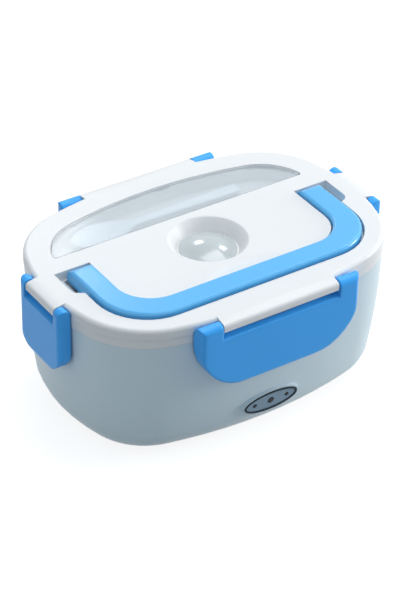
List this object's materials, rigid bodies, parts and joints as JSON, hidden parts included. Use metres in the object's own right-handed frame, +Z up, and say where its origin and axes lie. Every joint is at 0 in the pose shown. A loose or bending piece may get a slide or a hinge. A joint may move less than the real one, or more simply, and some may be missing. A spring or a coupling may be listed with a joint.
{
  "type": "electric heated lunch box",
  "caption": "Bow-sided electric lunch box in white and blue: heated base with a divided food tray, lid with folding handle, steam vent, spoon window and four hinged latches",
  "frame": {"origin": "Middle of the box at table level, under the feet", "axes": "X runs along the long side, Y from the front (indicator panel) to the back (power inlet), Z up"},
  "size_m": [0.253, 0.1798, 0.1115],
  "materials": {
    "white_plastic": "glossy moulded white with a faint cool tint",
    "body_plastic": "satin moulded pale blue-grey",
    "tray_plastic": "smooth food-grade white moulding",
    "blue_plastic": "glossy moulded mid blue",
    "light_blue_plastic": "glossy moulded light blue",
    "clear_plastic": "translucent pale grey-blue sheet",
    "vent_silicone": "translucent milky silicone",
    "seal_rubber": "soft pale seal",
    "foot_rubber": "dull dark rubber",
    "dark_plastic": "dark moulding",
    "panel_grey": "smoked blue-grey panel",
    "lamp_smoked": "smoked light guide, dark while unlit",
    "aluminium_plate": "turned aluminium",
    "steel": "polished and lightly brushed stainless steel",
    "ceramic_heater": "film-wrapped ceramic heater",
    "fuse_red": "sleeved fuse body",
    "lead_insulation": "silicone lead insulation",
    "board_green": "coated circuit board",
    "brass_pin": "plated brass",
    "spoon_plastic": "moulded white"
  },
  "bodies": {
    "base": {"outer_shell": "body_plastic", "heating_well": "white_plastic", "heating_plate": "aluminium_plate", "ptc_heater": "ceramic_heater", "heater_bracket": "steel", "bracket_screws": "steel", "thermostat": "dark_plastic", "thermal_fuse": "fuse_red", "heater_leads": "lead_insulation", "indicator_board": "board_green", "indicator_lamps": "lamp_smoked", "indicator_face": "panel_grey", "indicator_bezel": "dark_plastic", "power_inlet": "dark_plastic", "inlet_pins": "brass_pin", "base_screws": "steel", "feet": "foot_rubber"},
    "tray": {"food_tray": "tray_plastic"},
    "lid": {"lid_shell": "white_plastic", "lid_inner": "tray_plastic", "lid_seal": "seal_rubber"},
    "latch_front_body": {"latch_front": "blue_plastic"},
    "latch_back_body": {"latch_back": "blue_plastic"},
    "latch_left_body": {"latch_left": "blue_plastic"},
    "latch_right_body": {"latch_right": "blue_plastic"},
    "handle_body": {"handle": "light_blue_plastic"},
    "vent_body": {"vent_valve": "vent_silicone"},
    "spoon_body": {"spoon": "spoon_plastic"},
    "cover_body": {"window_cover": "clear_plastic"}
  },
  "joints": [
    {"name": "tray_lift", "type": "slide", "parent": "base", "child": "tray", "axis": [0, 0, 1], "range_m": [0, 0.06]},
    {"name": "lid_lift", "type": "slide", "parent": "tray", "child": "lid", "axis": [0, 0, 1], "range_m": [0, 0.06]},
    {"name": "latch_front_hinge", "type": "hinge", "parent": "lid", "child": "latch_front_body", "pos_m": [0, -0.0854, 0.1033], "axis": [-1, 0, 0], "range_deg": [0, 120]},
    {"name": "latch_back_hinge", "type": "hinge", "parent": "lid", "child": "latch_back_body", "pos_m": [0, 0.0854, 0.1033], "axis": [1, 0, 0], "range_deg": [0, 120]},
    {"name": "latch_left_hinge", "type": "hinge", "parent": "lid", "child": "latch_left_body", "pos_m": [-0.122, 0, 0.1033], "axis": [0, 1, 0], "range_deg": [0, 120]},
    {"name": "latch_right_hinge", "type": "hinge", "parent": "lid", "child": "latch_right_body", "pos_m": [0.122, 0, 0.1033], "axis": [0, -1, 0], "range_deg": [0, 120]},
    {"name": "handle_hinge", "type": "hinge", "parent": "lid", "child": "handle_body", "pos_m": [0, 0.005, 0.1047], "axis": [-1, 0, 0], "range_deg": [0, 95]},
    {"name": "vent_lift", "type": "slide", "parent": "lid", "child": "vent_body", "axis": [0, 0, 1], "range_m": [0, 0.003]},
    {"name": "spoon_slide", "type": "slide", "parent": "lid", "child": "spoon_body", "axis": [1, 0, 0], "range_m": [0, 0.02]},
    {"name": "cover_hinge", "type": "hinge", "parent": "lid", "child": "cover_body", "pos_m": [0, 0.0314, 0.1069], "axis": [1, 0, 0], "range_deg": [0, 80]}
  ]
}
